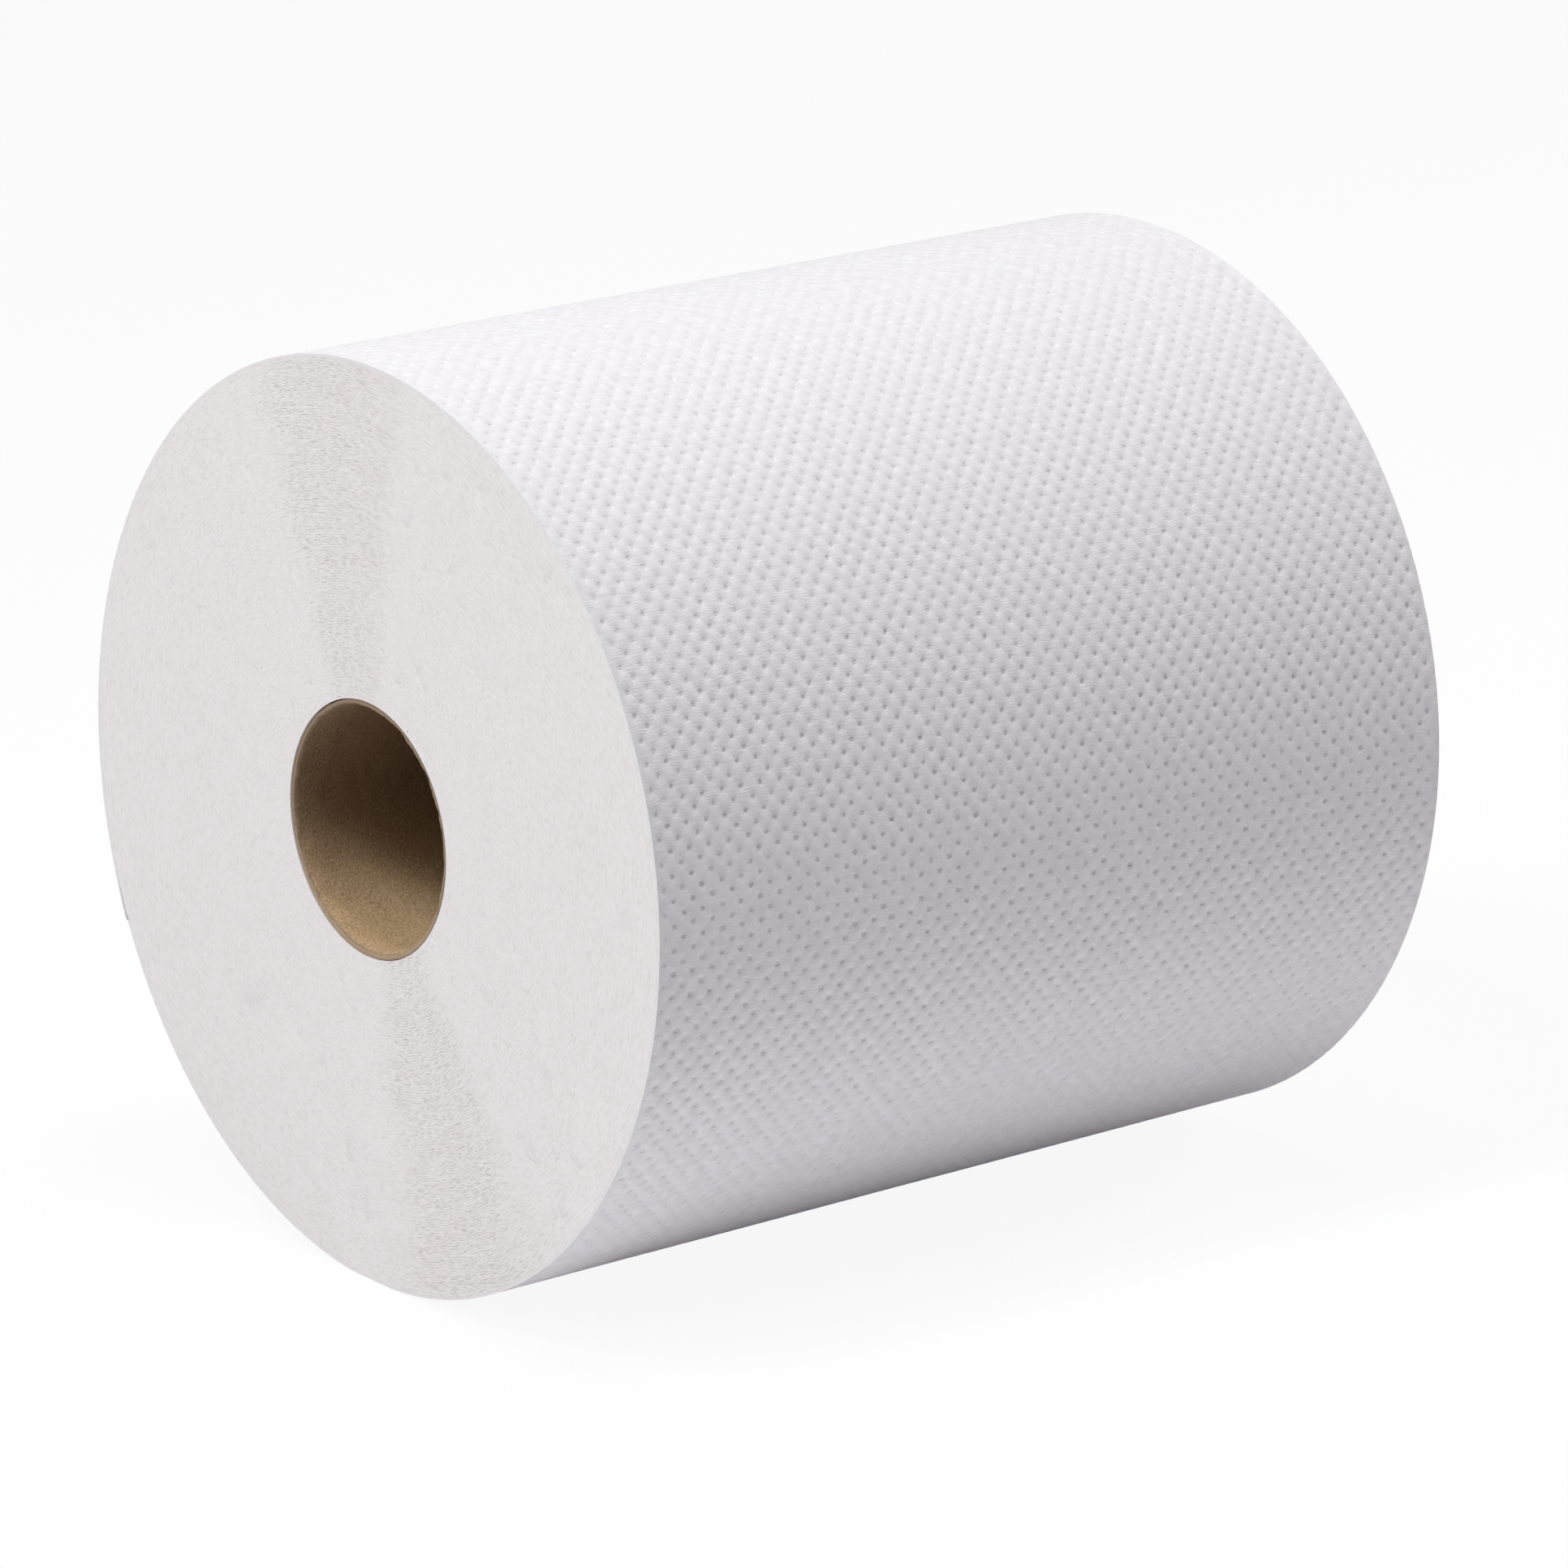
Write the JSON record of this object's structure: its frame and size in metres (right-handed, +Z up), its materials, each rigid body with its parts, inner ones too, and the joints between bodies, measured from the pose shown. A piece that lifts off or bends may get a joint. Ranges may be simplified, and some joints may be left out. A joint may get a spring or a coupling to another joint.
{
  "type": "paper towel roll",
  "caption": "Wide hard-wound roll of dot-embossed white paper towel on a brown cardboard core, lying on its side, for a towel dispenser.",
  "frame": {"origin": "on the floor under the middle of the roll, at the centre of its flat spot", "axes": "+Y along the roll's axis, away from the end that the picture shows; +X towards the side that the picture shows; +Z up"},
  "size_m": [0.1938, 0.2032, 0.1934],
  "materials": {
    "towel_paper": "matt bleached tissue, dot embossed on the web and sawn at the ends",
    "core_kraft": "matt brown kraft board with a sawn rim"
  },
  "bodies": {
    "root": {"paper_roll": "towel_paper", "cardboard_core": "core_kraft"}
  },
  "joints": []
}
